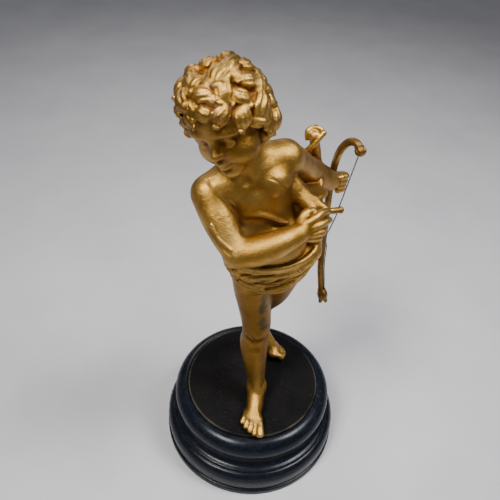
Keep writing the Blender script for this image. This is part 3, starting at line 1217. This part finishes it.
def lowerRound(radius, edge):
    # From the side round to the flat underside, which is at height 0
    return [(radius - edge * (1 - math.cos(turn)), edge * (1 - math.sin(turn))) for turn in quarter]


def makeSocle(material):
    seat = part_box("top_plate")[0].z - socle["seatGap"]
    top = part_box("socle")[1].z
    seatRadius = plate["radius"] + socle["seatGap"]
    neckTop = top - socle["upperRollHeight"]
    edgeHeight = neckTop - socle["neckHeight"] - socle["groove"]
    rollBottom = edgeHeight - socle["lowerRollHeight"]
    steps = socle["rollSteps"]
    profile = [(0.0, seat), (seatRadius - 0.0002, seat), (seatRadius, seat + 0.0001)]
    profile += rollProfile(seatRadius, socle["upperRoll"], top, neckTop, socle["neck"], steps)
    for k in range(1, 11):
        turn = math.pi / 2 * k / 10
        wide = socle["neck"] + (socle["edge"] - socle["neck"]) * (1 - math.cos(turn))
        profile.append((wide, neckTop - socle["neckHeight"] * math.sin(turn)))
    profile += [(socle["edge"] + 0.0002, edgeHeight + 0.0004), (socle["edge"] + 0.0002, edgeHeight)]
    profile += rollProfile(socle["edge"], socle["lowerRoll"], edgeHeight - socle["groove"] / 2, rollBottom,
                           socle["footRadius"] - socle["groove"], steps)
    profile.append((socle["footRadius"] - socle["groove"], socle["footHeight"]))
    profile += upperRound(socle["footRadius"], socle["footHeight"], socle["footRound"])
    profile += lowerRound(socle["footRadius"], socle["footRound"])
    profile += [(socle["footRadius"] * 0.5, 0.0), (0.0, 0.0)]
    piece = turnedPiece("turnedSocle", profile, socle["sides"], material)
    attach(piece, body)
    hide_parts("socle")


def makePlate(material):
    low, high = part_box("top_plate")
    profile = [(0.0, high.z), (plate["radius"] * 0.5, high.z)]
    profile += upperRound(plate["radius"], high.z, plate["edgeRound"])
    profile += [(plate["radius"], low.z + 0.0002), (plate["radius"] - 0.0002, low.z), (0.0, low.z)]
    piece = turnedPiece("standPlate", profile, plate["sides"], material)
    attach(piece, body)
    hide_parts("top_plate")


def makeRodTree():
    # A round rod along a polyline; each point's own size is kept in the attribute rodSize
    tree, sockets, start, end = newTree("rod along a route", [
        ("Radius", "NodeSocketFloat"), ("Sides", "NodeSocketInt"), ("Material", "NodeSocketMaterial")])
    route = tree.nodes.new("GeometryNodeMeshToCurve")
    size = tree.nodes.new("GeometryNodeInputNamedAttribute")
    size.data_type = "FLOAT"
    size.inputs["Name"].default_value = "rodSize"
    circle = tree.nodes.new("GeometryNodeCurvePrimitiveCircle")
    sweep = tree.nodes.new("GeometryNodeCurveToMesh")
    sweep.inputs["Fill Caps"].default_value = True
    link(tree, start.outputs["Geometry"], route.inputs["Mesh"])
    link(tree, start.outputs["Sides"], circle.inputs["Resolution"])
    link(tree, start.outputs["Radius"], circle.inputs["Radius"])
    link(tree, route.outputs["Curve"], sweep.inputs["Curve"])
    link(tree, circle.outputs["Curve"], sweep.inputs["Profile Curve"])
    link(tree, size.outputs[0], sweep.inputs["Scale"])
    finishTree(tree, sweep.outputs["Mesh"], start, end)
    return tree, sockets


rodTree, rodSockets = makeRodTree()


def rodMesh(name, places, sizes, radius, sides, material, steps=8):
    rows = smoothPoints(np.column_stack([toMetres(places), sizes]), steps)
    mesh = bpy.data.meshes.new(name)
    mesh.from_pydata([tuple(row[:3]) for row in rows], [(i, i + 1) for i in range(len(rows) - 1)], [])
    addAttribute(mesh, "rodSize", rows[:, 3])
    made = applyTree(name, mesh, rodTree, rodSockets,
                     {"Radius": radius, "Sides": sides, "Material": material})
    return tidyMesh(made, 0.000003)


def joinMeshes(name, meshes, material):
    work = bmesh.new()
    for mesh in meshes:
        work.from_mesh(mesh)
    made = bpy.data.meshes.new(name)
    work.to_mesh(made)
    work.free()
    made.materials.clear()
    made.materials.append(material)
    made.shade_smooth()
    return addPiece(name, made, [])


def ribbedBall(centre, radii, axis, ribs, depth, segments=64, rings=28):
    # A ball with lengthwise ribs around its axis
    work = bmesh.new()
    bmesh.ops.create_uvsphere(work, u_segments=segments, v_segments=rings, radius=1.0)
    turn = Vector((0, 0, 1)).rotation_difference(Vector(axis)).to_matrix()
    for vertex in work.verts:
        angle = math.atan2(vertex.co.y, vertex.co.x)
        ring = math.sqrt(max(1 - vertex.co.z ** 2, 0))
        swell = 1 - depth * (0.5 - 0.5 * math.cos(ribs * angle)) * min(ring * 2.2, 1)
        local = Vector((vertex.co.x * radii[0] * swell, vertex.co.y * radii[1] * swell,
                        vertex.co.z * radii[2]))
        vertex.co = turn @ local + Vector(centre)
    mesh = bpy.data.meshes.new("ribbedBall")
    work.to_mesh(mesh)
    work.free()
    return mesh


def makeBow(material):
    route = np.array(bow["route"])
    metres = toMetres(route)
    parts = [rodMesh("bowRod", route, bow["sizes"], bow["radius"], 20, material)]
    topAxis = unit(metres[0] - metres[1])
    tipAxis = unit(metres[-1] - metres[-2])
    for end, axis, fittings in ((metres[0], topAxis, bow["upper"]), (metres[-1], tipAxis, bow["lower"])):
        for shift, radii, ribs, depth in fittings:
            parts.append(ribbedBall(end + axis * shift, radii, axis, ribs, depth))
    # The bud opens in two small points
    side = unit(np.cross(tipAxis, (0.0, 1.0, 0.0)))
    for step in (-bow["tipApart"], bow["tipApart"]):
        parts.append(ribbedBall(metres[-1] + tipAxis * bow["tipShift"] + side * step, bow["tipRadii"],
                                tipAxis + side * step * bow["tipSplay"], 1, 0.0))
    piece = joinMeshes("castBow", parts, material)
    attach(piece, body)
    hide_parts("bow")


def makeArrow(material):
    way = unit(arrowOuter - arrowInner)
    route = [arrowInner, arrowInner + way * 8, arrowOuter]
    rod = rodMesh("arrowRod", route, [1.0, 1.0, 1.0], arrow["radius"], 24, material, 2)
    end = ribbedBall(toMetres(arrowOuter), [arrow["endRadius"]] * 3, way, 1, 0.0)
    piece = joinMeshes("castArrow", [rod, end], material)
    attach(piece, body)
    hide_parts("arrow")


def makeBowstring(material):
    for slot in nodes["bowstring"].material_slots:
        slot.material = material


# Stage
view = {
    "place": (-0.0068, -0.2085, 0.3359),
    "down": 41.72,
    "lean": 3.68,
    "focal": 40.32,
    "sensor": 36.0,
}


def makeCamera():
    camera = bpy.data.cameras.new("camera")
    camera.sensor_width = view["sensor"]
    camera.lens = view["focal"]
    holder = bpy.data.objects.new("camera", camera)
    bpy.context.scene.collection.objects.link(holder)
    pitch, roll = math.radians(view["down"]), math.radians(view["lean"])
    ahead = Vector((0, math.cos(pitch), -math.sin(pitch)))
    level = Vector((1, 0, 0))
    upright = level.cross(ahead)
    right = level * math.cos(roll) + upright * math.sin(roll)
    up = upright * math.cos(roll) - level * math.sin(roll)
    turn = Matrix((right, up, -ahead)).transposed().to_4x4()
    holder.matrix_world = Matrix.Translation(view["place"]) @ turn
    bpy.context.scene.camera = holder


def makeFloor():
    work = bmesh.new()
    bmesh.ops.create_grid(work, x_segments=1, y_segments=1, size=3.0)
    mesh = bpy.data.meshes.new("floor")
    work.to_mesh(mesh)
    work.free()
    material, tree, shader, place = newMaterial("pale paper floor")
    mottle = noise(tree, place, 14.0, 4.0, 0.6)
    colour = mixColour(tree, between(tree, mottle, 0.3, 0.7), (0.45, 0.44, 0.455), (0.51, 0.50, 0.51))
    link(tree, colour, shader.inputs["Base Color"])
    shader.inputs["Roughness"].default_value = 0.85
    fibres = noise(tree, place, 900.0, 3.0, 0.6)
    addBump(tree, shader, fibres, 0.2, 0.0002)
    floor = addPiece("floor", mesh, [material])


lights = [
    # name, place, aim, size, power, spread in degrees, colour
    ("window", (-0.36, -0.36, 0.95), (0.0, -0.02, 0.12), 0.30, 1.6, 62, (1.0, 0.985, 0.96)),
    ("sky", (0.50, -0.04, 1.00), (0.02, 0.0, 0.10), 0.30, 2.4, 80, (0.95, 0.97, 1.0)),
    ("behind", (-0.30, 0.85, 0.70), (0.0, 0.0, 0.14), 0.4, 0.6, 90, (1.0, 0.97, 0.93)),
]


skyLight = {"colour": (0.80, 0.82, 0.88, 1), "strength": 0.27}


def makeLights():
    for name, place, aim, size, power, spread, colour in lights:
        lamp = bpy.data.lights.new(name, "AREA")
        lamp.shape = "SQUARE"
        lamp.size = size
        lamp.energy = power
        lamp.spread = math.radians(spread)
        lamp.color = colour
        holder = bpy.data.objects.new(name, lamp)
        bpy.context.scene.collection.objects.link(holder)
        holder.location = place
        holder.rotation_euler = (Vector(aim) - Vector(place)).to_track_quat("-Z", "Y").to_euler()
    world = bpy.data.worlds.new("studio")
    world.use_nodes = True
    sky = world.node_tree.nodes["Background"]
    sky.inputs["Color"].default_value = skyLight["colour"]
    sky.inputs["Strength"].default_value = skyLight["strength"]
    bpy.context.scene.world = world


makeCamera()
makeLights()
makeFloor()
print("stage set")

figureGilt = makeFigureGilt()
rodGilt = makeRodGilt()
cupid = makeFigure([figureGilt])
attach(cupid, body)
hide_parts("cupid_figure")

makeSocle(makeEbonised())
makePlate(makePlateBlack())
print("socle and plate turned")

makeBow(rodGilt)
makeArrow(rodGilt)
makeBowstring(makeWire())
print("bow, arrow and string done")
